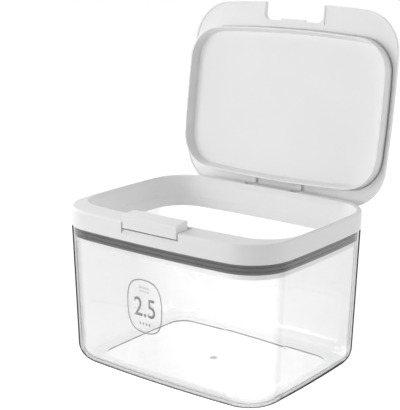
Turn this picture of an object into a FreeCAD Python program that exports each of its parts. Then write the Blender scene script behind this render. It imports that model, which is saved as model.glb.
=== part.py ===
import FreeCAD, Part
import math
import os
import Sketcher

# Storage box for laundry powder: a clear tub, a white collar with its seal, a hinged lid and a push latch.
# Millimetres. The origin is the centre of the foot's underside. +X is to the right, the latch faces -Y and
# +Z is up. The lid's pieces are drawn closed and then swung open about the hinge axis.

SIZES = {
    # Plan of the whole box: a rounded rectangle whose four sides bow outwards.
    "box_width": 200.0,
    "box_depth": 161.1,
    "corner_radius": 34.9,
    "front_curve": 1040.0,
    "side_curve": 1010.0,
    # Tub: its rim is at tub_height, and it narrows downwards by tub_draft degrees a side.
    "tub_height": 113.0,
    "tub_inset": 0.2,
    "tub_draft": 1.85,
    "tub_wall": 2.0,
    "tub_floor": 2.4,
    "tub_bottom_radius": 14.0,
    # Foot: a flat panel that stands proud of the tub's underside and is dished inside by as much. Here and
    # below, side, front, back and corner are steps inwards from the outline around.
    "foot_side": 22.9,
    "foot_front": 26.0,
    "foot_back": 26.0,
    "foot_corner": 20.2,
    "foot_height": 0.8,
    # Collar: the white ring on the tub's rim.
    "collar_height": 14.5,
    "collar_rounding": 2.0,
    # Mouth: the opening through the collar. It narrows from the deck to a throat, less from there to a
    # ledge, and again to its lip.
    "mouth_side": 2.8,
    "mouth_front": 19.8,
    "mouth_back": 8.05,
    "mouth_corner": 5.9,
    "throat_drop": 3.8,
    "throat_side": 1.2,
    "throat_front": 1.3,
    "throat_back": 2.1,
    "throat_corner": 0.35,
    "ledge_drop": 8.5,
    "ledge_side": 0.5,
    "ledge_front": 0.4,
    "ledge_back": 0.9,
    "ledge_corner": 0.15,
    "lip_drop": 16.7,
    "lip_side": 1.0,
    "lip_front": 1.0,
    "lip_back": 2.0,
    "lip_corner": 0.5,
    # Skirt: the part of the collar that hangs inside the tub and carries the seal.
    "skirt_length": 11.3,
    "skirt_side": 1.2,
    "skirt_front": 2.1,
    "skirt_back": 5.55,
    "skirt_corner": 2.4,
    "skirt_gap": 0.7,
    # Seal: a web on the skirt with ribs that reach towards the tub's wall.
    "seal_height": 7.7,
    "seal_web": 0.5,
    "seal_gap": 0.4,
    "rib_reach": 1.4,
    "rib_height": 1.85,
    # Hollows under the collar's front bar, one on each side of the latch.
    "core_run": 10.7,
    "core_front_wall": 7.55,
    "core_back_wall": 1.2,
    "core_side_wall": 3.0,
    "deck_thickness": 2.5,
    # Latch button.
    "latch_width": 51.2,
    "latch_setback": 0.25,
    "latch_depth": 13.3,
    "latch_drop": 4.9,
    "latch_rise": 4.8,
    "latch_slope": 1.7,
    "latch_wall": 2.0,
    "latch_rounding": 0.8,
    "latch_post": 6.0,
    "latch_side_gap": 1.2,
    "latch_stop_gap": 0.1,
    # Hook on the latch's back and the tab on the lid that it holds down.
    "hook_width": 20.0,
    "hook_reach": 1.4,
    "hook_thickness": 1.7,
    "hook_gap": 0.4,
    "tab_width": 23.6,
    "tab_gap": 0.2,
    "tab_thickness": 1.8,
    # Latch pivot, its lugs, its pins and its spring.
    "pivot_setback": 10.55,
    "pivot_drop": 9.3,
    "lug_width": 2.6,
    "lug_radius": 1.9,
    "lug_depth": 4.9,
    "latch_pin_radius": 0.9,
    "pin_clearance": 0.05,
    "spring_setback": 7.1,
    "spring_radius": 1.5,
    "spring_wire": 0.25,
    "spring_turns": 5.0,
    # Pocket in the collar for the latch, with a finger ramp below it.
    "trough_front": 4.95,
    "trough_drop": 12.3,
    "ramp_foot": 10.5,
    "ramp_top": 6.5,
    "ramp_depth": 2.2,
    "shelf_drop": 1.0,
    "stop_width": 34.0,
    "well_wall": 1.9,
    # Hinge: two arms of the lid turn on pins in slots of the collar's back.
    "hinge_inset": 3.1,
    "hinge_drop": 6.35,
    "arm_spacing": 45.2,
    "arm_width": 5.4,
    "arm_radius": 2.4,
    "arm_side_gap": 0.6,
    "arm_heel_gap": 0.8,
    "rib_width": 4.0,
    "rib_length": 4.0,
    "rib_drop": 2.0,
    "hinge_pin_radius": 1.2,
    "hinge_pin_bearing": 3.0,
    "pin_bay_height": 4.0,
    "pin_bay_gap": 1.0,
    "boss_depth": 1.0,
    "boss_height": 8.0,
    "lid_open_angle": 97.6,
    # Lid cover.
    "lid_gap": 0.4,
    "lid_side": 1.4,
    "lid_front": 0.35,
    "lid_back": 0.35,
    "lid_corner": 0.9,
    "lid_thickness": 4.5,
    "lid_rounding": 2.2,
    "lid_plate": 2.0,
    "lid_rim": 1.3,
    "lid_dish": 0.6,
    "notch_width": 56.8,
    "notch_depth": 15.0,
    "notch_corner": 5.0,
    # Inner panel: a plug ring that drops into the mouth, and the panel inside it.
    "plug_side": 0.5,
    "plug_front": 0.45,
    "plug_back": 4.0,
    "plug_corner": 0.5,
    "plug_depth": 9.25,
    "plug_edge": 1.4,
    "plug_rounding": 0.5,
    "plug_groove": 1.0,
    "panel_side": 3.1,
    "panel_front": 3.7,
    "panel_back": 3.5,
    "panel_corner": 3.5,
    "panel_drop": 0.7,
    "panel_thickness": 2.2,
    "panel_bearing": 4.0,
}

SPARE = 10.0  # how far a cut runs past the material that it opens
SEAL_RIBS = 3

doc = FreeCAD.newDocument("storage_box")
sheet = doc.addObject("Spreadsheet::Sheet", "sizes")
for row, (name, number) in enumerate(SIZES.items(), start=1):
    sheet.set(f"A{row}", name)
    sheet.set(f"B{row}", str(number))
    sheet.setAlias(f"B{row}", name)
doc.recompute()


def value(expression):
    """The number that an expression of sheet sizes comes to."""
    return float(sheet.evalExpression(expression))


# Helpers: each takes its sizes as expressions of the sheet.


def new_body(label):
    body = doc.addObject("PartDesign::Body", label)
    body.Label = label
    return body


def sketch_on(body, name, role, offset):
    """An empty sketch on one of the body's own origin planes, moved along that plane's normal."""
    sketch = body.newObject("Sketcher::SketchObject", name)
    support = next(plane for plane in body.Origin.OriginFeatures if plane.Role == role)
    sketch.AttachmentSupport = [(support, "")]
    sketch.MapMode = "FlatFace"
    sketch.setExpression("AttachmentOffset.Base.z", offset)
    return sketch


def dimension(sketch, name, expression, kind, *where):
    """Adds a named dimension to a sketch and binds it to the sheet."""
    index = sketch.addConstraint(Sketcher.Constraint(kind, *where, value(expression)))
    sketch.renameConstraint(index, name)
    sketch.setExpression(f"Constraints.{name}", expression)


def crossing(first, first_radius, second, second_radius, near):
    """The crossing of two circles that lies closer to a given point."""
    across = second - first
    gap = across.Length
    along = (first_radius**2 - second_radius**2 + gap**2) / (2 * gap)
    rise = math.sqrt(first_radius**2 - along**2)
    foot = first + across * (along / gap)
    normal = FreeCAD.Vector(-across.y, across.x) / gap
    return min((foot + normal * rise, foot - normal * rise), key=lambda point: (point - near).Length)


def mirrored(point):
    return FreeCAD.Vector(-point.x, point.y)


def outline(body, name, level, plan):
    """A horizontal rounded rectangle with bowed sides: eight arcs, each tangent to the next.

    plan holds half_width, front, back, corner, long_curve and side_curve. front and back are the
    distances from the origin to the outline along -Y and +Y.
    """
    half, front, back, corner, long_radius, side_radius = (value(size) for size in plan)
    middle = (back - front) / 2
    right_centre = FreeCAD.Vector(half - side_radius, middle)
    back_centre = FreeCAD.Vector(0, back - long_radius)
    front_centre = FreeCAD.Vector(0, long_radius - front)

    def corner_centre(long_centre, near):
        return crossing(long_centre, long_radius - corner, right_centre, side_radius - corner, near)

    back_corner = corner_centre(back_centre, FreeCAD.Vector(half, back))
    front_corner = corner_centre(front_centre, FreeCAD.Vector(half, -front))

    def touch(centre, radius, corner_point):
        return centre + (corner_point - centre).normalize() * radius

    right_front = touch(right_centre, side_radius, front_corner)
    right_back = touch(right_centre, side_radius, back_corner)
    back_right = touch(back_centre, long_radius, back_corner)
    front_right = touch(front_centre, long_radius, front_corner)
    ends = [right_front, right_back, back_right, mirrored(back_right)]
    ends += [mirrored(right_back), mirrored(right_front), mirrored(front_right), front_right]
    centres = [right_centre, back_corner, back_centre, mirrored(back_corner)]
    centres += [mirrored(right_centre), mirrored(front_corner), front_centre, front_corner]

    sketch = sketch_on(body, name, "XY_Plane", level)
    for index, centre in enumerate(centres):
        start = ends[index] - centre
        end = ends[(index + 1) % len(ends)] - centre
        start_angle = math.atan2(start.y, start.x)
        end_angle = math.atan2(end.y, end.x)
        if end_angle < start_angle:
            end_angle += 2 * math.pi
        circle = Part.Circle(centre, FreeCAD.Vector(0, 0, 1), start.Length)
        sketch.addGeometry(Part.ArcOfCircle(circle, start_angle, end_angle), False)
    for index in range(8):
        sketch.addConstraint(Sketcher.Constraint("Tangent", index, 2, (index + 1) % 8, 1))
    right_arc, back_arc, left_arc, front_arc = 0, 2, 4, 6
    for other in (3, 5, 7):
        sketch.addConstraint(Sketcher.Constraint("Equal", 1, other))
    sketch.addConstraint(Sketcher.Constraint("Equal", right_arc, left_arc))
    sketch.addConstraint(Sketcher.Constraint("Equal", back_arc, front_arc))
    sketch.addConstraint(Sketcher.Constraint("PointOnObject", back_arc, 3, -2))
    sketch.addConstraint(Sketcher.Constraint("PointOnObject", front_arc, 3, -2))
    half, front, back, corner, long_radius, side_radius = plan
    dimension(sketch, "corner", corner, "Radius", 1)
    dimension(sketch, "side_curve", side_radius, "Radius", right_arc)
    dimension(sketch, "long_curve", long_radius, "Radius", back_arc)
    dimension(sketch, "front", f"{long_radius} - {front}", "DistanceY", -1, 1, front_arc, 3)
    dimension(sketch, "back", f"{long_radius} - {back}", "DistanceY", back_arc, 3, -1, 1)
    dimension(sketch, "right", f"{side_radius} - {half}", "DistanceX", right_arc, 3, -1, 1)
    dimension(sketch, "left", f"{side_radius} - {half}", "DistanceX", -1, 1, left_arc, 3)
    dimension(sketch, "right_middle", f"({back} - {front}) / 2", "DistanceY", -1, 1, right_arc, 3)
    dimension(sketch, "left_middle", f"({back} - {front}) / 2", "DistanceY", -1, 1, left_arc, 3)
    return sketch


def inset(plan, distance):
    """A plan moved inwards by one distance all round."""
    return tuple(f"({size} - {distance})" for size in plan)


def stepped(plan, name):
    """A plan moved inwards from another by the sheet's four steps of one name."""
    steps = [f"sizes.{name}_{part}" for part in ("side", "front", "back", "corner")]
    moved = [f"({size} - {step})" for size, step in zip(plan, steps)]
    return (*moved, *plan[4:])


def polygon(body, name, role, offset, points):
    """A closed polygon on an origin plane: each corner is a pair of expressions."""
    sketch = sketch_on(body, name, role, offset)
    corners = [FreeCAD.Vector(value(across), value(up)) for across, up in points]
    for index, corner in enumerate(corners):
        sketch.addGeometry(Part.LineSegment(corner, corners[(index + 1) % len(corners)]), False)
    for index in range(len(corners)):
        sketch.addConstraint(Sketcher.Constraint("Coincident", index, 2, (index + 1) % len(corners), 1))
    for index, (across, up) in enumerate(points):
        dimension(sketch, f"across_{index}", across, "DistanceX", -1, 1, index, 1)
        dimension(sketch, f"up_{index}", up, "DistanceY", -1, 1, index, 1)
    return sketch


def rectangle(body, name, role, offset, low, high):
    """A rectangle given by its low and its high corner."""
    points = [low, (high[0], low[1]), high, (low[0], high[1])]
    return polygon(body, name, role, offset, points)


def disc(body, name, role, offset, centre, radius):
    sketch = sketch_on(body, name, role, offset)
    middle = FreeCAD.Vector(value(centre[0]), value(centre[1]))
    sketch.addGeometry(Part.Circle(middle, FreeCAD.Vector(0, 0, 1), value(radius)), False)
    dimension(sketch, "radius", radius, "Radius", 0)
    dimension(sketch, "across", centre[0], "DistanceX", -1, 1, 0, 3)
    dimension(sketch, "up", centre[1], "DistanceY", -1, 1, 0, 3)
    return sketch


def settle(body, feature, adds):
    """Recomputes, and checks that the feature really added or removed material."""
    before = body.Shape.Volume if not body.Shape.isNull() else 0.0
    doc.recompute()
    if body.Tip != feature:
        body.Tip = feature
        doc.recompute()
    change = body.Shape.Volume - before
    if change == 0 or (change > 0) != adds:
        raise RuntimeError(f"{body.Label}: {feature.Label} changed the volume by {change}")
    return feature


def pad(body, profile, length, reverse=False, both_ways=False):
    feature = body.newObject("PartDesign::Pad", f"{profile.Name}_pad")
    feature.Profile = profile
    feature.setExpression("Length", length)
    feature.Reversed = reverse
    if both_ways:
        feature.SideType = "Symmetric"
    return settle(body, feature, adds=True)


def pocket(body, profile, length, reverse=False, both_ways=False):
    feature = body.newObject("PartDesign::Pocket", f"{profile.Name}_pocket")
    feature.Profile = profile
    feature.setExpression("Length", length)
    feature.Reversed = reverse
    if both_ways:
        feature.SideType = "Symmetric"
    return settle(body, feature, adds=False)


def loft(body, first, second, adds):
    kind = "AdditiveLoft" if adds else "SubtractiveLoft"
    feature = body.newObject(f"PartDesign::{kind}", f"{first.Name}_loft")
    feature.Profile = first
    feature.Sections = [second]
    feature.Ruled = True
    return settle(body, feature, adds)


def fillet(body, radius, chosen):
    """Rounds the edges of the body's last feature for which chosen(edge) is true."""
    base = body.Tip
    names = [f"Edge{i}" for i, edge in enumerate(base.Shape.Edges, start=1) if chosen(edge)]
    feature = body.newObject("PartDesign::Fillet", f"{base.Name}_fillet")
    feature.Base = (base, names)
    feature.setExpression("Radius", radius)
    doc.recompute()
    body.Tip = feature
    doc.recompute()
    return feature


def walls_between(low, high):
    """A test for faces whose corners reach from one height to another."""
    bottom, top = value(low), value(high)

    def test(face):
        heights = [vertex.Z for vertex in face.Vertexes]
        return abs(min(heights) - bottom) < 1e-3 and abs(max(heights) - top) < 1e-3

    return test


def level_plane(body, name, level):
    plane = body.newObject("PartDesign::Plane", name)
    support = next(item for item in body.Origin.OriginFeatures if item.Role == "XY_Plane")
    plane.AttachmentSupport = [(support, "")]
    plane.MapMode = "FlatFace"
    plane.setExpression("AttachmentOffset.Base.z", level)
    return plane


def draft(body, angle, hinge_plane, chosen, reverse):
    """Tilts the chosen faces of the body's last feature about a level plane, and so removes material."""
    base = body.Tip
    names = [f"Face{i}" for i, face in enumerate(base.Shape.Faces, start=1) if chosen(face)]
    feature = body.newObject("PartDesign::Draft", f"{base.Name}_draft")
    feature.Base = (base, names)
    feature.NeutralPlane = (hinge_plane, [""])
    feature.setExpression("Angle", angle)
    feature.Reversed = reverse
    return settle(body, feature, adds=False)


def at_level(level):
    """A test for edges that lie flat at one height."""
    height = value(level)
    return lambda edge: abs(edge.BoundBox.ZMin - height) < 1e-3 and abs(edge.BoundBox.ZMax - height) < 1e-3


def near(across, along):
    """A test for upright edges at one place in the plan, on either side of the middle."""
    x, y = value(across), value(along)

    def test(edge):
        box = edge.BoundBox
        upright = box.ZLength > 10 * (box.XLength + box.YLength)
        return upright and abs(abs(box.Center.x) - x) < 0.05 and abs(box.Center.y - y) < 0.05

    return test


# Plans, heights and lines that several pieces share.

HALF_DEPTH = "(sizes.box_depth / 2)"
HALF_WIDTH = "(sizes.box_width / 2)"
BOX = (HALF_WIDTH, HALF_DEPTH, HALF_DEPTH, "sizes.corner_radius", "sizes.front_curve", "sizes.side_curve")
MOUTH = stepped(BOX, "mouth")
THROAT = stepped(MOUTH, "throat")
LEDGE = stepped(THROAT, "ledge")
LIP = stepped(LEDGE, "lip")
LID = stepped(BOX, "lid")
PLUG = stepped(LEDGE, "plug")
PANEL = stepped(PLUG, "panel")
TUB_INNER = "(sizes.tub_inset + sizes.tub_wall)"
RIB_INSET = f"({TUB_INNER} + sizes.seal_gap)"
SEAT_INSET = f"({RIB_INSET} + sizes.rib_reach + sizes.seal_web)"
SKIRT = stepped(inset(BOX, SEAT_INSET), "skirt")
RIM = "sizes.tub_height"
DECK = "(sizes.tub_height + sizes.collar_height)"
LID_UNDER = f"({DECK} + sizes.lid_gap)"
LID_TOP = f"({LID_UNDER} + sizes.lid_thickness)"
SKIRT_END = "(sizes.tub_height - sizes.skirt_length)"
SEAL_END = "(sizes.tub_height - sizes.seal_height)"
LIP_LEVEL = f"({DECK} - sizes.lip_drop)"
HINGE_Y = f"({HALF_DEPTH} - sizes.hinge_inset)"
HINGE_Z = f"({DECK} - sizes.hinge_drop)"
LATCH_FRONT = f"({HALF_DEPTH} - sizes.latch_setback)"
LATCH_BACK = f"({LATCH_FRONT} - sizes.latch_depth)"
LATCH_UNDER = f"({DECK} - sizes.latch_drop)"
PIVOT_Y = f"({HALF_DEPTH} - sizes.pivot_setback)"
PIVOT_Z = f"({DECK} - sizes.pivot_drop)"
TROUGH_FLOOR = f"({DECK} - sizes.trough_drop)"
POCKET_HALF = "(sizes.latch_width / 2 + sizes.latch_side_gap)"
TAB_TOP = f"({LID_UNDER} + sizes.tab_thickness)"
NOTCH_BACK = f"({LID[1]} - sizes.notch_depth)"
HINGE_PIN_LENGTH = "(sizes.arm_width + 2 * sizes.arm_side_gap + 2 * sizes.hinge_pin_bearing)"


# Tub: tapered walls, a round bottom edge and a flat foot.


def build_container():
    body = new_body("container")
    inner_floor = "(sizes.foot_height + sizes.tub_floor)"
    inner_depth = f"({RIM} - {inner_floor})"
    rim_plane = level_plane(body, "rim_plane", RIM)
    floor_plane = level_plane(body, "floor_plane", inner_floor)
    rim = outline(body, "tub_rim", RIM, inset(BOX, "sizes.tub_inset"))
    pad(body, rim, f"{RIM} - sizes.foot_height", reverse=True)
    draft(body, "sizes.tub_draft", rim_plane, walls_between("sizes.foot_height", RIM), reverse=True)
    narrowing = f"{inner_depth} * tan(sizes.tub_draft)"
    inside = outline(body, "tub_inside", RIM, inset(BOX, f"({TUB_INNER} + {narrowing})"))
    pocket(body, inside, inner_depth)
    draft(body, "sizes.tub_draft", floor_plane, walls_between(inner_floor, RIM), reverse=False)
    fillet(body, "sizes.tub_bottom_radius - sizes.tub_wall", at_level(inner_floor))
    fillet(body, "sizes.tub_bottom_radius", at_level("sizes.foot_height"))
    foot = outline(body, "foot", "0", stepped(BOX, "foot"))
    pad(body, foot, "sizes.foot_height")
    dish = outline(body, "foot_dish", inner_floor, inset(stepped(BOX, "foot"), "sizes.foot_height"))
    pocket(body, dish, "sizes.foot_height")
    return body


# Collar: the outer ring, the skirt, the mouth, the latch's pocket and the hinge's slots.


def cut_latch_pocket(body):
    half = f"2 * {POCKET_HALF}"
    ramp_top_y = f"-({HALF_DEPTH} - sizes.ramp_depth)"
    slope = "((sizes.ramp_foot - sizes.ramp_top) / sizes.ramp_depth)"
    outside = f"-({HALF_DEPTH} + {SPARE})"
    stop = f"-({LATCH_BACK} - sizes.latch_stop_gap)"
    inside = f"-({LIP[1]} - {SPARE / 2})"
    shelf = f"{DECK} - sizes.shelf_drop"
    above = f"{DECK} + {SPARE}"
    trough_front = f"-({HALF_DEPTH} - sizes.trough_front)"
    well_back = f"-({MOUTH[1]} + sizes.well_wall)"
    profile = [
        (outside, f"{DECK} - sizes.ramp_foot - {SPARE} * {slope}"),
        (ramp_top_y, f"{DECK} - sizes.ramp_top"),
        (trough_front, f"{DECK} - sizes.ramp_top"),
        (trough_front, TROUGH_FLOOR),
        (stop, TROUGH_FLOOR),
        (stop, above),
        (outside, above),
    ]
    pocket(body, polygon(body, "latch_pocket", "YZ_Plane", "0", profile), half, both_ways=True)
    tab_shelf = rectangle(body, "tab_shelf", "YZ_Plane", "0", (stop, shelf), (inside, above))
    pocket(body, tab_shelf, "sizes.stop_width", both_ways=True)
    width = f"{POCKET_HALF} - sizes.stop_width / 2"
    for side, name in ((1, "right"), (-1, "left")):
        middle = f"{side} * ({POCKET_HALF} + sizes.stop_width / 2) / 2"
        well = rectangle(body, f"latch_well_{name}", "YZ_Plane", middle, (stop, TROUGH_FLOOR), (well_back, above))
        pocket(body, well, width, both_ways=True)
        wall = f"{side} * ({POCKET_HALF} + sizes.core_side_wall / 2)"
        centre = (f"-{PIVOT_Y}", PIVOT_Z)
        bore = disc(body, f"latch_bore_{name}", "YZ_Plane", wall, centre, "sizes.latch_pin_radius")
        pocket(body, bore, f"sizes.core_side_wall + {SPARE}", both_ways=True)


def cut_hinge_slots(body):
    outside = f"{HALF_DEPTH} + {SPARE}"
    slot_low = (
        f"{HINGE_Y} - sizes.arm_radius - sizes.arm_side_gap",
        f"{HINGE_Z} - sizes.arm_radius - sizes.arm_heel_gap",
    )
    slot_high = (outside, f"{DECK} + {SPARE}")
    width = "sizes.arm_width + 2 * sizes.arm_side_gap"
    bay_length = f"{HINGE_PIN_LENGTH} + sizes.pin_bay_gap"
    for side, name in ((1, "right"), (-1, "left")):
        middle = f"{side} * sizes.arm_spacing / 2"
        slot = rectangle(body, f"hinge_slot_{name}", "YZ_Plane", middle, slot_low, slot_high)
        pocket(body, slot, width, both_ways=True)
        centre = (HINGE_Y, HINGE_Z)
        bore = disc(body, f"hinge_bore_{name}", "YZ_Plane", middle, centre, "sizes.hinge_pin_radius")
        pocket(body, bore, HINGE_PIN_LENGTH, both_ways=True)
        bay_middle = f"{side} * (sizes.arm_spacing / 2 + ({HINGE_PIN_LENGTH} + {bay_length}) / 2)"
        low = (f"{HINGE_Y} - sizes.pin_bay_height / 2", f"{HINGE_Z} - sizes.pin_bay_height / 2")
        high = (outside, f"{HINGE_Z} + sizes.pin_bay_height / 2")
        bay = rectangle(body, f"pin_bay_{name}", "YZ_Plane", bay_middle, low, high)
        pocket(body, bay, bay_length, both_ways=True)


def build_frame():
    body = new_body("frame")
    ring = outline(body, "collar", RIM, BOX)
    pad(body, ring, "sizes.collar_height")
    fillet(body, "sizes.collar_rounding", at_level(DECK))
    boss_half = f"(sizes.arm_spacing / 2 + {HINGE_PIN_LENGTH} / 2)"
    low = (f"{HINGE_Y} - sizes.hinge_pin_radius", f"{HINGE_Z} - sizes.boss_height / 2")
    high = (f"{HALF_DEPTH} + sizes.boss_depth", f"{HINGE_Z} + sizes.boss_height / 2")
    boss = rectangle(body, "hinge_boss", "YZ_Plane", "0", low, high)
    pad(body, boss, f"2 * {boss_half}", both_ways=True)
    seat = outline(body, "skirt_seat", SEAL_END, inset(BOX, SEAT_INSET))
    pad(body, seat, "sizes.seal_height")
    flange = outline(body, "skirt_flange", SKIRT_END, inset(BOX, f"({TUB_INNER} + sizes.skirt_gap)"))
    pad(body, flange, "sizes.skirt_length - sizes.seal_height")
    deck_mouth = outline(body, "mouth_deck", DECK, MOUTH)
    throat = outline(body, "mouth_throat", f"{DECK} - sizes.throat_drop", THROAT)
    loft(body, deck_mouth, throat, adds=False)
    throat_again = outline(body, "mouth_wall", f"{DECK} - sizes.throat_drop", THROAT)
    ledge = outline(body, "mouth_ledge", f"{DECK} - sizes.ledge_drop", LEDGE)
    loft(body, throat_again, ledge, adds=False)
    ledge_again = outline(body, "mouth_lower", f"{DECK} - sizes.ledge_drop", LEDGE)
    lip = outline(body, "mouth_lip", LIP_LEVEL, LIP)
    loft(body, ledge_again, lip, adds=False)
    skirt = outline(body, "skirt_inside", SKIRT_END, SKIRT)
    pocket(body, skirt, f"{LIP_LEVEL} - {SKIRT_END}", reverse=True)
    for side, name in ((1, "right"), (-1, "left")):
        inner = f"{POCKET_HALF} + sizes.core_side_wall"
        outer = f"{HALF_WIDTH} - sizes.corner_radius + sizes.core_run"
        ends = [f"{side} * ({inner})", f"{side} * ({outer})"]
        low_x, high_x = ends if side > 0 else ends[::-1]
        low = (low_x, f"-({HALF_DEPTH} - sizes.core_front_wall)")
        high = (high_x, f"-({MOUTH[1]} + sizes.core_back_wall)")
        core = rectangle(body, f"core_{name}", "XY_Plane", LIP_LEVEL, low, high)
        pocket(body, core, f"{DECK} - sizes.deck_thickness - {LIP_LEVEL}", reverse=True)
    cut_latch_pocket(body)
    cut_hinge_slots(body)
    return body


# Seal: a web round the skirt's seat, with three ribs towards the tub's wall.


def build_gasket():
    body = new_body("gasket")
    web = outline(body, "seal_web", SEAL_END, inset(BOX, f"({SEAT_INSET} - sizes.seal_web)"))
    pad(body, web, "sizes.seal_height")
    for index in range(SEAL_RIBS):
        level = f"{SEAL_END} + {index} * (sizes.seal_height - sizes.rib_height) / {SEAL_RIBS - 1}"
        rib = outline(body, f"seal_rib_{index}", level, inset(BOX, RIB_INSET))
        pad(body, rib, "sizes.rib_height")
    bore = outline(body, "seal_bore", SEAL_END, inset(BOX, SEAT_INSET))
    pocket(body, bore, "sizes.seal_height", reverse=True)
    return body


# Lid cover: a plate with a raised rim, a notch for the latch, the catch tab and the two hinge arms.


def build_lid_cover():
    body = new_body("lid_cover")
    pad(body, outline(body, "cover", LID_UNDER, LID), "sizes.lid_thickness")
    fillet(body, "sizes.lid_rounding", at_level(LID_TOP))
    dish = outline(body, "cover_dish", LID_UNDER, inset(LID, "sizes.lid_rim"))
    pocket(body, dish, "sizes.lid_dish", reverse=True)
    seat = outline(body, "panel_seat", LID_UNDER, inset(PLUG, "-sizes.plug_groove"))
    pocket(body, seat, "sizes.lid_thickness - sizes.lid_plate", reverse=True)
    rim_half = "(sizes.notch_width / 2 + sizes.lid_rim)"
    low = (f"-{rim_half}", f"-({LID[1]} - sizes.lid_rim)")
    high = (rim_half, f"-({NOTCH_BACK} - sizes.lid_rim)")
    notch_rim = rectangle(body, "notch_rim", "XY_Plane", LID_UNDER, low, high)
    pad(body, notch_rim, "sizes.lid_thickness - sizes.lid_plate")
    low = ("-sizes.notch_width / 2", f"-({LID[1]} + {SPARE})")
    high = ("sizes.notch_width / 2", f"-{NOTCH_BACK}")
    notch = rectangle(body, "notch", "XY_Plane", LID_UNDER, low, high)
    pocket(body, notch, "sizes.lid_thickness", reverse=True)
    fillet(body, "sizes.notch_corner", near("sizes.notch_width / 2", f"-{NOTCH_BACK}"))
    low = ("-sizes.tab_width / 2", f"-({LATCH_BACK} - sizes.tab_gap)")
    high = ("sizes.tab_width / 2", f"-({NOTCH_BACK} - sizes.lid_rim)")
    pad(body, rectangle(body, "tab", "XY_Plane", LID_UNDER, low, high), "sizes.tab_thickness")
    arm_low = (f"{HINGE_Y} - sizes.arm_radius", HINGE_Z)
    arm_high = (f"{HINGE_Y} + sizes.arm_radius", f"{LID_TOP} - sizes.lid_plate")
    rib_start = f"({PLUG[2]} + sizes.plug_groove)"
    rib_low = (rib_start, f"{LID_UNDER} - sizes.rib_drop")
    rib_high = (f"{rib_start} + sizes.rib_length", f"{LID_TOP} - sizes.lid_plate")
    for side, name in ((1, "right"), (-1, "left")):
        middle = f"{side} * sizes.arm_spacing / 2"
        arm = rectangle(body, f"arm_{name}", "YZ_Plane", middle, arm_low, arm_high)
        pad(body, arm, "sizes.arm_width", both_ways=True)
        rib = rectangle(body, f"rib_{name}", "YZ_Plane", middle, rib_low, rib_high)
        pad(body, rib, "sizes.rib_width", both_ways=True)
        eye = disc(body, f"eye_{name}", "YZ_Plane", middle, (HINGE_Y, HINGE_Z), "sizes.arm_radius")
        pad(body, eye, "sizes.arm_width", both_ways=True)
        bore_radius = "sizes.hinge_pin_radius + sizes.pin_clearance"
        bore = disc(body, f"eye_bore_{name}", "YZ_Plane", middle, (HINGE_Y, HINGE_Z), bore_radius)
        pocket(body, bore, f"sizes.arm_width + {SPARE}", both_ways=True)
    return body


# Inner panel: the plug ring, and a panel inside it that stands clear of the cover.


def build_lid_inner_panel():
    body = new_body("lid_inner_panel")
    bottom = f"{LID_UNDER} - sizes.plug_depth"
    seat = f"{LID_UNDER} + sizes.lid_thickness - sizes.lid_plate"
    face = f"{LID_UNDER} - sizes.panel_drop"
    plug = outline(body, "plug", bottom, PLUG)
    pad(body, plug, f"{seat} - ({bottom})")
    inner = outline(body, "plug_inside", bottom, inset(PLUG, "sizes.plug_edge"))
    foot = outline(body, "panel_face", face, PANEL)
    loft(body, inner, foot, adds=False)
    fillet(body, "sizes.plug_rounding", at_level(bottom))
    back = f"({face} + sizes.panel_thickness)"
    hollow = outline(body, "panel_back", back, inset(PLUG, "sizes.panel_bearing"))
    pocket(body, hollow, f"{seat} - {back}", reverse=True)
    return body


# Latch button: a hollow cap with a hook at its back and two lugs that turn on the pivot pins.


def build_latch_button():
    body = new_body("latch_button")
    top = f"{DECK} + sizes.latch_rise"
    profile = [
        (f"-{LATCH_FRONT}", LATCH_UNDER),
        (f"-{LATCH_BACK}", LATCH_UNDER),
        (f"-{LATCH_BACK}", f"{top} + sizes.latch_slope"),
        (f"-{LATCH_FRONT}", top),
    ]
    block = polygon(body, "button", "YZ_Plane", "0", profile)
    pad(body, block, "sizes.latch_width", both_ways=True)
    above = value(f"{DECK} + sizes.latch_rise / 2")
    fillet(body, "sizes.latch_rounding", lambda edge: edge.BoundBox.ZMax > above)
    wall = "sizes.latch_wall"
    for side, name in ((1, "right"), (-1, "left")):
        ends = [f"{side} * sizes.latch_post / 2", f"{side} * (sizes.latch_width / 2 - sizes.lug_width)"]
        low_x, high_x = ends if side > 0 else ends[::-1]
        low = (low_x, f"-({LATCH_FRONT} - {wall})")
        high = (high_x, f"-({LATCH_BACK} + {wall})")
        hollow = rectangle(body, f"hollow_{name}", "XY_Plane", LATCH_UNDER, low, high)
        pocket(body, hollow, f"{top} - {wall} - {LATCH_UNDER}", reverse=True)
    hook_under = f"{TAB_TOP} + sizes.hook_gap"
    low = (f"-({LATCH_BACK} + {wall})", hook_under)
    high = (f"-({LATCH_BACK} - sizes.hook_reach)", f"{hook_under} + sizes.hook_thickness")
    hook = rectangle(body, "hook", "YZ_Plane", "0", low, high)
    pad(body, hook, "sizes.hook_width", both_ways=True)
    for side, name in ((1, "right"), (-1, "left")):
        middle = f"{side} * (sizes.latch_width / 2 - sizes.lug_width / 2)"
        low = (f"-({LATCH_BACK} + sizes.lug_depth)", PIVOT_Z)
        high = (f"-{LATCH_BACK}", f"{LATCH_UNDER} + {wall}")
        lug = rectangle(body, f"lug_{name}", "YZ_Plane", middle, low, high)
        pad(body, lug, "sizes.lug_width", both_ways=True)
        centre = (f"-{PIVOT_Y}", PIVOT_Z)
        eye = disc(body, f"lug_eye_{name}", "YZ_Plane", middle, centre, "sizes.lug_radius")
        pad(body, eye, "sizes.lug_width", both_ways=True)
        bore_radius = "sizes.latch_pin_radius + sizes.pin_clearance"
        bore = disc(body, f"lug_bore_{name}", "YZ_Plane", middle, centre, bore_radius)
        pocket(body, bore, f"sizes.lug_width + {SPARE}", both_ways=True)
    return body


# Pins and spring.


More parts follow.
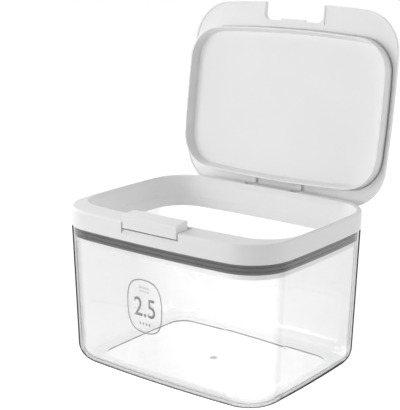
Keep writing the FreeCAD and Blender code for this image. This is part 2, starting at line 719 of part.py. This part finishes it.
def build_pin(label, middle, centre, radius, length):
    body = new_body(label)
    pad(body, disc(body, f"{label}_end", "YZ_Plane", middle, centre, radius), length, both_ways=True)
    return body


def build_latch_spring():
    body = new_body("latch_spring")
    height = f"({LATCH_UNDER} - {TROUGH_FLOOR})"
    middle = f"-({HALF_DEPTH} - sizes.spring_setback)"
    coil_radius = "(sizes.spring_radius - sizes.spring_wire)"
    wire = disc(body, "wire", "XZ_Plane", "0", (coil_radius, "sizes.spring_wire"), "sizes.spring_wire")
    coil = body.newObject("PartDesign::AdditiveHelix", "coil")
    coil.Profile = wire
    coil.ReferenceAxis = (wire, ["V_Axis"])
    coil.Mode = "height-turns-angle"
    coil.setExpression("Height", f"{height} - 2 * sizes.spring_wire")
    coil.setExpression("Turns", "sizes.spring_turns")
    settle(body, coil, adds=True)
    seat = FreeCAD.Vector(0, value(middle), value(TROUGH_FLOOR))
    body.Placement = FreeCAD.Placement(seat, FreeCAD.Rotation())
    return body


def build():
    bodies = [build_container(), build_frame(), build_gasket()]
    bodies.append(build_latch_button())
    bodies.append(build_latch_spring())
    lid = [build_lid_cover(), build_lid_inner_panel()]
    hinge_axis = FreeCAD.Vector(0, value(HINGE_Y), value(HINGE_Z))
    swing = FreeCAD.Rotation(FreeCAD.Vector(1, 0, 0), -value("sizes.lid_open_angle"))
    for body in lid:
        body.Placement = FreeCAD.Placement(FreeCAD.Vector(), swing, hinge_axis)
    bodies += lid
    for side, name in ((1, "right"), (-1, "left")):
        middle = f"{side} * sizes.arm_spacing / 2"
        centre = (HINGE_Y, HINGE_Z)
        pin = build_pin(f"hinge_pin_{name}", middle, centre, "sizes.hinge_pin_radius", HINGE_PIN_LENGTH)
        bodies.append(pin)
        length = "(sizes.core_side_wall + sizes.latch_side_gap + sizes.lug_width)"
        middle = f"{side} * ({POCKET_HALF} + sizes.core_side_wall - {length} / 2)"
        centre = (f"-{PIVOT_Y}", PIVOT_Z)
        bodies.append(build_pin(f"latch_pin_{name}", middle, centre, "sizes.latch_pin_radius", length))
    return bodies


parts = build()
doc.recompute()
for item in doc.Objects:
    if "Invalid" in item.State or "Error" in item.State:
        raise RuntimeError(f"{item.Label} failed: {item.State}")
for part in parts:
    if part.Shape.isNull() or not part.Shape.isValid() or len(part.Shape.Solids) != 1:
        raise RuntimeError(f"{part.Label} is not one valid solid")
os.makedirs("parts", exist_ok=True)
for part in parts:
    part.Shape.exportStep(f"parts/{part.Label}.step")
    print(part.Label, round(part.Shape.Volume, 1))
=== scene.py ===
import math
import bpy
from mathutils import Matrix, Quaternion, Vector


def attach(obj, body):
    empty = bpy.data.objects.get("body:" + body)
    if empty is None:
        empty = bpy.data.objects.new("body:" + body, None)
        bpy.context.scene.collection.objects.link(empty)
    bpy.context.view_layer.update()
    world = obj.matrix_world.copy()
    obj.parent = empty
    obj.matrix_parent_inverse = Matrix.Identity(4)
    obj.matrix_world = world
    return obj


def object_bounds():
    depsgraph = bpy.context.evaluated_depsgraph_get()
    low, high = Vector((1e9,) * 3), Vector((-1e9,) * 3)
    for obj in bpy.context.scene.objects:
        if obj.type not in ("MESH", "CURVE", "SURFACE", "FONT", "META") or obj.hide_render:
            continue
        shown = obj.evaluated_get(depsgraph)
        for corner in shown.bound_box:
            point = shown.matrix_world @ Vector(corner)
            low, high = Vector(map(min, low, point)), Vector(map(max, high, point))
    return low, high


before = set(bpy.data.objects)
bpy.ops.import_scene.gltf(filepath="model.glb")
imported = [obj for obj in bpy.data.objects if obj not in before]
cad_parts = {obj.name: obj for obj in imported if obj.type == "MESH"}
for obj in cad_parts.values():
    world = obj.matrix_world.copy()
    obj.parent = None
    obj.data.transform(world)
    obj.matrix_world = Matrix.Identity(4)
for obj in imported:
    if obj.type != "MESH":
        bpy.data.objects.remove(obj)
cad_low, cad_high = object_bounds()

# ---------------------------------------------------------------- studio
# The box stands on a plain white sweep. Broad soft boxes in front of it, on its left, on its right
# and, weakly, above it leave the corner that faces the camera a little darker.

bpy.ops.object.select_all(action="DESELECT")
centre = (cad_low + cad_high) / 2


def linear(code):
    """An sRGB hex colour as the linear red, green, blue, alpha that shaders take."""
    parts = [int(code[i:i + 2], 16) / 255 for i in (1, 3, 5)]
    return [p / 12.92 if p <= 0.04045 else ((p + 0.055) / 1.055) ** 2.4 for p in parts] + [1.0]


def add_node(tree, kind, links=(), **settings):
    """Adds a node, sets its named settings and sockets, and links other nodes' outputs to its inputs."""
    node = tree.nodes.new(kind)
    for name, setting in settings.items():
        if name.startswith("in_"):
            node.inputs[int(name[3:])].default_value = setting
        else:
            setattr(node, name, setting)
    for socket, source in links:
        tree.links.new(source, node.inputs[socket])
    return node


def new_material(name):
    """An empty node material and its output node."""
    material = bpy.data.materials.new(name)
    material.use_nodes = True
    tree = material.node_tree
    tree.nodes.clear()
    return material, tree, add_node(tree, "ShaderNodeOutputMaterial")


def seen_directly(tree):
    """1 for rays that show a thing to the eye: straight, mirrored or through glass."""
    path = add_node(tree, "ShaderNodeLightPath")
    mirrored = add_node(tree, "ShaderNodeMath", [(0, path.outputs["Is Camera Ray"]),
                                                 (1, path.outputs["Is Glossy Ray"])], operation="MAXIMUM")
    return add_node(tree, "ShaderNodeMath", [(0, mirrored.outputs[0]),
                                             (1, path.outputs["Is Transmission Ray"])], operation="MAXIMUM")


# The room gives a dim, even light, and the surround that shows behind and through the box is white.
world = bpy.data.worlds.new("soft_studio")
bpy.context.scene.world = world
world.use_nodes = True
sky = world.node_tree
sky.nodes.clear()
room_light = add_node(sky, "ShaderNodeBackground", in_0=linear("#FFFFFF"), in_1=0.22)
white_surround = add_node(sky, "ShaderNodeBackground", in_0=linear("#FFFFFF"), in_1=1.0)
either = add_node(sky, "ShaderNodeMixShader", [(0, seen_directly(sky).outputs[0]),
                                               (1, room_light.outputs[0]), (2, white_surround.outputs[0])])
add_node(sky, "ShaderNodeOutputWorld", [("Surface", either.outputs[0])])

FLOOR_SIZE = 2.6  # the sweep ends where it is still brightly lit, so no horizon shows
bpy.ops.mesh.primitive_plane_add(size=FLOOR_SIZE, location=(centre.x, centre.y, 0))
floor = bpy.context.object
floor.name = "studio_floor"
# White paper: it looks white everywhere, and its own light and shade on top keeps the box's shadow.
paper, tree, output = new_material("white_paper")
paper_lit = add_node(tree, "ShaderNodeBsdfDiffuse", in_0=linear("#F4F4F4"))
paper_glow = add_node(tree, "ShaderNodeEmission", in_0=linear("#FFFFFF"), in_1=0.78)
paper_shade = add_node(tree, "ShaderNodeBsdfDiffuse", in_0=linear("#B4B4B4"))
paper_seen = add_node(tree, "ShaderNodeAddShader", [(0, paper_glow.outputs[0]),
                                                    (1, paper_shade.outputs[0])])
shown = add_node(tree, "ShaderNodeMixShader", [(0, seen_directly(tree).outputs[0]),
                                               (1, paper_lit.outputs[0]), (2, paper_seen.outputs[0])])
tree.links.new(shown.outputs[0], output.inputs["Surface"])
floor.data.materials.append(paper)


LAMP_DISTANCE, LAMP_SIZE = 1.8, 1.6


def soft_light(name, azimuth, elevation, power):
    """A square soft box that faces the middle of the box. Azimuth 0 is in front of the latch."""
    turn, rise = math.radians(azimuth), math.radians(elevation)
    away = Vector((math.sin(turn) * math.cos(rise), -math.cos(turn) * math.cos(rise), math.sin(rise)))
    data = bpy.data.lights.new(name, "AREA")
    data.shape = "RECTANGLE"
    data.size, data.size_y, data.energy = LAMP_SIZE, LAMP_SIZE, power
    lamp = bpy.data.objects.new(name, data)
    bpy.context.scene.collection.objects.link(lamp)
    lamp.location = centre + away * LAMP_DISTANCE
    lamp.rotation_euler = away.to_track_quat("Z", "Y").to_euler()


soft_light("front_soft_box", azimuth=-27, elevation=6, power=22.0)
soft_light("left_soft_box", azimuth=-100, elevation=25, power=19.0)
soft_light("right_soft_box", azimuth=112, elevation=20, power=13.0)
soft_light("top_soft_box", azimuth=-60, elevation=75, power=4.5)

# The camera stands in front, to the right of the latch, and looks a little down.
CAMERA_PLACE = Vector((0.50787, -0.67830, 0.34680))
HEADING, DOWNWARD, ROLL = -0.657, 0.253, 0.004
camera_data = bpy.data.cameras.new("camera")
camera_data.lens, camera_data.sensor_width = 99.23, 36.0
camera_data.clip_start, camera_data.clip_end = 0.05, 40.0
camera = bpy.data.objects.new("camera", camera_data)
bpy.context.scene.collection.objects.link(camera)
camera.location = CAMERA_PLACE
look = Vector((math.sin(HEADING) * math.cos(DOWNWARD), math.cos(HEADING) * math.cos(DOWNWARD),
               -math.sin(DOWNWARD)))
camera.rotation_mode = "QUATERNION"
camera.rotation_quaternion = look.to_track_quat("-Z", "Y") @ Quaternion((0, 0, 1), ROLL)
bpy.context.scene.camera = camera
bpy.context.scene.view_settings.view_transform = "Standard"

# ---------------------------------------------------------------- tub
# The clear tub is injection moulded in one shot from SAN, a water-clear styrene plastic.
# Its walls are 2 mm thick, polished, and drawn in a little towards the foot.


def finish_node(node, material):
    """Gives a CAD node its finish in its own material slot, with smooth shading left as packed."""
    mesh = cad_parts[node].data
    mesh.materials.clear()
    mesh.materials.append(material)


# SAN bends light strongly: a wall shows more of the room's grey the more it turns from the eye, most
# of all round the corners, and the last millimetre of a rounded edge goes dark. The surround here is
# white, so that grey is put into the plastic's colour as a painted reflection of the room, and the
# dark edge is painted too. Each ramp of painted grey goes from square on (0) to edge on (1).
FLAT_WALL_PAINTED_GREY = ((0.20, "#F8F8F8"), (0.25, "#F1F1F1"), (0.30, "#D4D4D5"), (0.40, "#DADADB"),
                   (0.51, "#D6D6D7"), (0.60, "#C6C7C8"), (0.72, "#BCBDBF"))
CORNER_PAINTED_GREY = ((0.20, "#F8F8F8"), (0.30, "#D4D4D5"), (0.42, "#ADAEB0"), (0.72, "#A4A5A7"))
clear_plastic, tree, output = new_material("clear_moulded_san")
slant = add_node(tree, "ShaderNodeLayerWeight", in_0=0.5)
wall_painted_grey = add_node(tree, "ShaderNodeValToRGB", [(0, slant.outputs["Facing"])])
corner_painted_grey = add_node(tree, "ShaderNodeValToRGB", [(0, slant.outputs["Facing"])])
for node, stops in ((wall_painted_grey, FLAT_WALL_PAINTED_GREY), (corner_painted_grey, CORNER_PAINTED_GREY)):
    ramp = node.color_ramp.elements
    for element, (position, shade) in zip(ramp, (stops[0], stops[-1])):
        element.position, element.color = position, linear(shade)
    for position, shade in stops[1:-1]:
        ramp.new(position).color = linear(shade)

# Which way the plastic faces tells its flat walls from its corners and its floor. Each pair is how
# squarely it faces along an axis, where the change starts and where it is complete.
FLOOR_FACING, CORNER_FACING = (0.88, 0.985), (0.990, 0.962)
surface = add_node(tree, "ShaderNodeNewGeometry")
facing = add_node(tree, "ShaderNodeSeparateXYZ", [(0, surface.outputs["Normal"])])
sideways, forwards, upwards = (
    add_node(tree, "ShaderNodeMath", [(0, facing.outputs[axis])], operation="ABSOLUTE") for axis in "XYZ")
on_floor = add_node(tree, "ShaderNodeMapRange", [("Value", upwards.outputs[0])])
on_floor.inputs["From Min"].default_value, on_floor.inputs["From Max"].default_value = FLOOR_FACING
flat_wall = add_node(tree, "ShaderNodeMath", [(0, sideways.outputs[0]), (1, forwards.outputs[0])],
                     operation="MAXIMUM")
on_corner = add_node(tree, "ShaderNodeMapRange", [("Value", flat_wall.outputs[0])])
on_corner.inputs["From Min"].default_value, on_corner.inputs["From Max"].default_value = CORNER_FACING

# A wall that is seen through another one adds next to nothing of the painted grey. A ray meets the
# two skins of the nearest wall at depths 0 and 1.
PAST_NEAREST_WALL = 1.5
path = add_node(tree, "ShaderNodeLightPath")
nearest = add_node(tree, "ShaderNodeMath", [(0, path.outputs["Transmission Depth"])],
                   operation="LESS_THAN", in_1=PAST_NEAREST_WALL)
near_corner = add_node(tree, "ShaderNodeMath", [(0, on_corner.outputs[0]), (1, nearest.outputs[0])],
                       operation="MULTIPLY")
side_painted_grey = add_node(tree, "ShaderNodeMix", [("Factor", near_corner.outputs[0])], data_type="RGBA")
tree.links.new(wall_painted_grey.outputs[0], side_painted_grey.inputs["A"])
tree.links.new(corner_painted_grey.outputs[0], side_painted_grey.inputs["B"])
seen_painted_grey = add_node(tree, "ShaderNodeMix", [("Factor", nearest.outputs[0])], data_type="RGBA")
seen_painted_grey.inputs["A"].default_value = linear("#F6F6F6")
tree.links.new(side_painted_grey.outputs["Result"], seen_painted_grey.inputs["B"])

# The floor and the low foot under it stay clear of the painted grey and get a plain light tint.
FOOT_HALF_WIDTH, FOOT_HALF_DEPTH, FOOT_TOP = 0.0785, 0.0560, 0.0040
place = add_node(tree, "ShaderNodeTexCoord")
spot = add_node(tree, "ShaderNodeSeparateXYZ", [(0, place.outputs["Object"])])
across = add_node(tree, "ShaderNodeMath", [(0, spot.outputs["X"])], operation="ABSOLUTE")
along = add_node(tree, "ShaderNodeMath", [(0, spot.outputs["Y"])], operation="ABSOLUTE")
in_width, in_depth, in_height = (
    add_node(tree, "ShaderNodeMath", [(0, length)], operation="LESS_THAN", in_1=limit)
    for length, limit in ((across.outputs[0], FOOT_HALF_WIDTH), (along.outputs[0], FOOT_HALF_DEPTH),
                          (spot.outputs["Z"], FOOT_TOP)))
in_plan = add_node(tree, "ShaderNodeMath", [(0, in_width.outputs[0]), (1, in_depth.outputs[0])],
                   operation="MULTIPLY")
on_foot = add_node(tree, "ShaderNodeMath", [(0, in_plan.outputs[0]), (1, in_height.outputs[0])],
                   operation="MULTIPLY")
clear_part = add_node(tree, "ShaderNodeMath", [(0, on_floor.outputs[0]), (1, on_foot.outputs[0])],
                      operation="MAXIMUM")
# The painted reflection's grey goes into the plastic's colour here.
painted_grey_and_floor_tint = add_node(tree, "ShaderNodeMix", [("Factor", clear_part.outputs[0])], data_type="RGBA")
tree.links.new(seen_painted_grey.outputs["Result"], painted_grey_and_floor_tint.inputs["A"])
painted_grey_and_floor_tint.inputs["B"].default_value = linear("#F0F0F0")
san = add_node(tree, "ShaderNodeBsdfPrincipled")
tree.links.new(painted_grey_and_floor_tint.outputs["Result"], san.inputs["Base Color"])
san.inputs["Transmission Weight"].default_value = 1.0
san.inputs["Roughness"].default_value = 0.02
san.inputs["IOR"].default_value = 1.57
san.inputs["Specular IOR Level"].default_value = 0.33

# A painted dark edge stands in for the dark room that the last millimetre would show. It goes on rounded
# edges only, and lamps shine through the plastic.
PAINTED_EDGE_FACING, PAINTED_EDGE_DARKNESS = (0.70, 0.79), 0.97
painted_dark_edge = add_node(tree, "ShaderNodeBsdfDiffuse", in_0=linear("#222426"))
painted_edge_share = add_node(tree, "ShaderNodeMapRange", [("Value", slant.outputs["Facing"])])
painted_edge_share.inputs["From Min"].default_value, painted_edge_share.inputs["From Max"].default_value = PAINTED_EDGE_FACING
painted_edge_share.inputs["To Max"].default_value = PAINTED_EDGE_DARKNESS
painted_rounded_edge = add_node(tree, "ShaderNodeMath", [(0, painted_edge_share.outputs[0]), (1, on_corner.outputs[0])],
                        operation="MULTIPLY")
not_clear = add_node(tree, "ShaderNodeMath", [(1, clear_part.outputs[0])], operation="SUBTRACT", in_0=1.0)
shown_painted_edge = add_node(tree, "ShaderNodeMath", [(0, painted_rounded_edge.outputs[0]), (1, not_clear.outputs[0])],
                      operation="MULTIPLY")
with_painted_edge = add_node(tree, "ShaderNodeMixShader", [(0, shown_painted_edge.outputs[0]), (1, san.outputs[0]),
                                               (2, painted_dark_edge.outputs[0])])
lamp_through = add_node(tree, "ShaderNodeBsdfTransparent", in_0=linear("#F6F6F6"))
wall = add_node(tree, "ShaderNodeMixShader", [(0, path.outputs["Is Shadow Ray"]), (1, with_painted_edge.outputs[0]),
                                              (2, lamp_through.outputs[0])])
tree.links.new(wall.outputs[0], output.inputs["Surface"])
finish_node("container", clear_plastic)

# Where the plastic was fed in, at the middle of the floor, the cut-off stub leaves a rough spot.
GATE_PLACE, GATE_WIDTH, GATE_THICKNESS = (0.001, -0.002, 0.0026), 0.0060, 0.0003
bpy.ops.object.select_all(action="DESELECT")
bpy.ops.mesh.primitive_cylinder_add(vertices=32, radius=GATE_WIDTH / 2, depth=GATE_THICKNESS,
                                    location=GATE_PLACE)
gate = bpy.context.object
gate.name = "gate_spot"
bpy.ops.object.transform_apply(location=True, rotation=True, scale=True)
# The same plastic, rough and clouded by the cut.
rough_spot, tree, output = new_material("cut_san")
cut = add_node(tree, "ShaderNodeBsdfPrincipled")
cut.inputs["Base Color"].default_value = linear("#BBBCBE")
cut.inputs["Roughness"].default_value = 0.7
tree.links.new(cut.outputs[0], output.inputs["Surface"])
gate.data.materials.append(rough_spot)
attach(gate, "box")

# ---------------------------------------------------------------- print on the tub
# The capacity mark is pad printed in grey ink on the outside of the tub's front wall: a rounded
# frame, one plain number with a point, and rows of short ticks above and below it.

MARK_MIDDLE = Vector((-0.0059, -0.090, 0.0652))
MARK_WIDTH, MARK_HEIGHT, LINE_WIDTH = 0.0338, 0.0424, 0.0009
INK_GAP, INK_THICKNESS = 0.00003, 0.00005

# The frame is a closed flat curve between an outer and an inner line, squarer than an ellipse.
bpy.ops.curve.primitive_bezier_circle_add(radius=1.0, location=(0, 0, 0))
mark = bpy.context.object
mark.name = "capacity_mark"
mark.data.dimensions = "2D"
mark.data.fill_mode = "FRONT"
mark.data.resolution_u = 24
bpy.ops.object.mode_set(mode="EDIT")
bpy.ops.curve.select_all(action="SELECT")
bpy.ops.curve.handle_type_set(type="FREE_ALIGN")
bpy.ops.curve.duplicate()
bpy.ops.object.mode_set(mode="OBJECT")
FULLNESS = 0.74  # the handles' length for a half width of 1, where 0.55 gives an ellipse
outer, inner = mark.data.splines
for spline, step in ((outer, 0.0), (inner, LINE_WIDTH)):
    half_width, half_height = MARK_WIDTH / 2 - step, MARK_HEIGHT / 2 - step
    for point in spline.bezier_points:
        place = Vector(point.co)
        for side in ("handle_left", "handle_right"):
            reach = (Vector(getattr(point, side)) - place).normalized() * FULLNESS
            across, up = place.x + reach.x, place.y + reach.y
            setattr(point, side, Vector((across * half_width, up * half_height, 0)))
        point.co = Vector((place.x * half_width, place.y * half_height, 0))
bpy.ops.object.convert(target="MESH")
printed = [mark]

# The number is one line of plain type, made a little bolder and fitted to its place.
NUMBER_WIDTH, NUMBER_HEIGHT, NUMBER_DROP, BOLDNESS = 0.0200, 0.0150, 0.0007, 0.004
bpy.ops.object.text_add(location=(0, 0, 0))
number = bpy.context.object
number.data.body = "2.5"
number.data.align_x, number.data.align_y = "CENTER", "CENTER"
number.data.offset = BOLDNESS
number.data.resolution_u = 12
bpy.ops.object.convert(target="MESH")
number = bpy.context.object
number.scale = (NUMBER_WIDTH / number.dimensions.x, NUMBER_HEIGHT / number.dimensions.y, 1)
bpy.ops.object.transform_apply(location=False, rotation=False, scale=True)
bpy.ops.object.origin_set(type="ORIGIN_GEOMETRY", center="BOUNDS")
number.location = (0, -NUMBER_DROP, 0)
printed.append(number)

# Rows of ticks: their height above the middle, the ticks' width and height, their number and spacing.
TICK_ROWS = ((0.0146, 0.0004, 0.0015, 8, 0.00125), (0.0118, 0.0004, 0.0011, 8, 0.00125),
             (-0.0137, 0.0011, 0.0019, 4, 0.0030))
for height, tick_width, tick_height, count, spacing in TICK_ROWS:
    bpy.ops.mesh.primitive_plane_add(size=1, location=(-spacing * (count - 1) / 2, height, 0))
    ticks = bpy.context.object
    ticks.scale = (tick_width, tick_height, 1)
    bpy.ops.object.transform_apply(location=True, rotation=False, scale=True)
    row = ticks.modifiers.new("row", "ARRAY")
    row.count = count
    row.use_relative_offset, row.use_constant_offset = False, True
    row.constant_offset_displace = (spacing, 0, 0)
    bpy.ops.object.modifier_apply(modifier="row")
    printed.append(ticks)

bpy.ops.object.select_all(action="DESELECT")
for piece in printed:
    piece.select_set(True)
bpy.context.view_layer.objects.active = mark
bpy.ops.object.join()
mark.rotation_euler = (math.pi / 2, 0, 0)
mark.location = MARK_MIDDLE
bpy.ops.object.transform_apply(location=True, rotation=True, scale=True)
# The pad lays the ink on the wall, and it dries to a thin even layer.
wrap = mark.modifiers.new("wrap", "SHRINKWRAP")
wrap.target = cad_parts["container"]
wrap.wrap_method = "PROJECT"
wrap.use_project_y, wrap.use_negative_direction, wrap.use_positive_direction = True, False, True
wrap.offset = INK_GAP
bpy.ops.object.modifier_apply(modifier="wrap")
layer = mark.modifiers.new("layer", "SOLIDIFY")
layer.thickness, layer.offset = INK_THICKNESS, 1.0
bpy.ops.object.modifier_apply(modifier="layer")

# Matt grey pad-printing ink, a little uneven in patches where the pad let go.
PATCH_SIZE = 0.0015
ink, tree, output = new_material("grey_printing_ink")
place = add_node(tree, "ShaderNodeTexCoord")
patches = add_node(tree, "ShaderNodeTexNoise", [("Vector", place.outputs["Object"])])
patches.inputs["Scale"].default_value = 1 / PATCH_SIZE
cover = add_node(tree, "ShaderNodeMix", [("Factor", patches.outputs["Fac"])], data_type="RGBA")
cover.inputs["A"].default_value = linear("#96979A")
cover.inputs["B"].default_value = linear("#A0A1A4")
film = add_node(tree, "ShaderNodeBsdfPrincipled")
tree.links.new(cover.outputs["Result"], film.inputs["Base Color"])
film.inputs["Roughness"].default_value = 0.55
tree.links.new(film.outputs[0], output.inputs["Surface"])
mark.data.materials.clear()
mark.data.materials.append(ink)
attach(mark, "box")

# ---------------------------------------------------------------- white mouldings
# The collar, the lid's two halves and the latch are moulded in white ABS. The mould's fine
# spark-eroded texture gives them a soft, wide shine, and the flow of the plastic faint broad shades.

white_plastic, tree, output = new_material("white_satin_abs")
GRAIN_SIZE = 0.0006  # drawn coarser than a real 0.1 mm texture, so that it can show
FLOW_SIZE = 1 / 18  # about 55 mm
GRAIN_HEIGHT = 0.00002
place = add_node(tree, "ShaderNodeTexCoord")
grain = add_node(tree, "ShaderNodeTexNoise", [("Vector", place.outputs["Object"])])
grain.inputs["Scale"].default_value = 1 / GRAIN_SIZE
grain.inputs["Detail"].default_value = 3.0
polish = add_node(tree, "ShaderNodeMapRange", [("Value", grain.outputs["Fac"])])
polish.inputs["To Min"].default_value, polish.inputs["To Max"].default_value = 0.36, 0.46
texture = add_node(tree, "ShaderNodeBump", [("Height", grain.outputs["Fac"])])
texture.inputs["Strength"].default_value = 0.08
texture.inputs["Distance"].default_value = GRAIN_HEIGHT
flow = add_node(tree, "ShaderNodeTexNoise", [("Vector", place.outputs["Object"])])
flow.inputs["Scale"].default_value = 1 / FLOW_SIZE
tone = add_node(tree, "ShaderNodeMix", [("Factor", flow.outputs["Fac"])], data_type="RGBA")
tone.inputs["A"].default_value = linear("#ECECED")
tone.inputs["B"].default_value = linear("#F2F2F2")
abs_plastic = add_node(tree, "ShaderNodeBsdfPrincipled", [("Roughness", polish.outputs[0]),
                                                          ("Normal", texture.outputs[0])])
tree.links.new(tone.outputs["Result"], abs_plastic.inputs["Base Color"])
abs_plastic.inputs["IOR"].default_value = 1.53
tree.links.new(abs_plastic.outputs[0], output.inputs["Surface"])
for node in ("frame", "lid_cover", "lid_inner_panel", "latch_button"):
    finish_node(node, white_plastic)

# ---------------------------------------------------------------- seal
# The ribbed seal round the collar's skirt is moulded in dark grey silicone rubber and stretched
# into place. It is matt, and painted shade makes its grooves darker than the crests of its ribs.

PAINTED_GROOVE_SHADE_REACH = 0.0012  # how far the painted shade reaches from a rib into the groove beside it
silicone, tree, output = new_material("dark_grey_silicone")
rubber = add_node(tree, "ShaderNodeBsdfPrincipled")
shade = add_node(tree, "ShaderNodeAmbientOcclusion", only_local=True, samples=8)
shade.inputs["Distance"].default_value = PAINTED_GROOVE_SHADE_REACH
# Ambient occlusion paints shade into the grooves: near black where a groove is closed in, the rubber's own
# grey on the crests.
depth = add_node(tree, "ShaderNodeValToRGB", [(0, shade.outputs["AO"])])
painted_groove_shade, crest = depth.color_ramp.elements
painted_groove_shade.position, painted_groove_shade.color = 0.70, linear("#060607")
crest.position, crest.color = 0.98, linear("#434446")
tree.links.new(depth.outputs[0], rubber.inputs["Base Color"])
rubber.inputs["Roughness"].default_value = 0.6
rubber.inputs["Specular IOR Level"].default_value = 0.25
tree.links.new(rubber.outputs[0], output.inputs["Surface"])
finish_node("gasket", silicone)

# ---------------------------------------------------------------- steel
# The hinge and latch pins are ground stainless steel, and the latch's spring is drawn wire: bright
# metal with a little blur in its reflections.

steel, tree, output = new_material("stainless_steel")
metal = add_node(tree, "ShaderNodeBsdfPrincipled")
metal.inputs["Base Color"].default_value = linear("#B9BABC")
metal.inputs["Metallic"].default_value = 1.0
metal.inputs["Roughness"].default_value = 0.28
tree.links.new(metal.outputs[0], output.inputs["Surface"])
for node in ("latch_spring", "latch_pin_left", "latch_pin_right", "hinge_pin_left", "hinge_pin_right"):
    finish_node(node, steel)
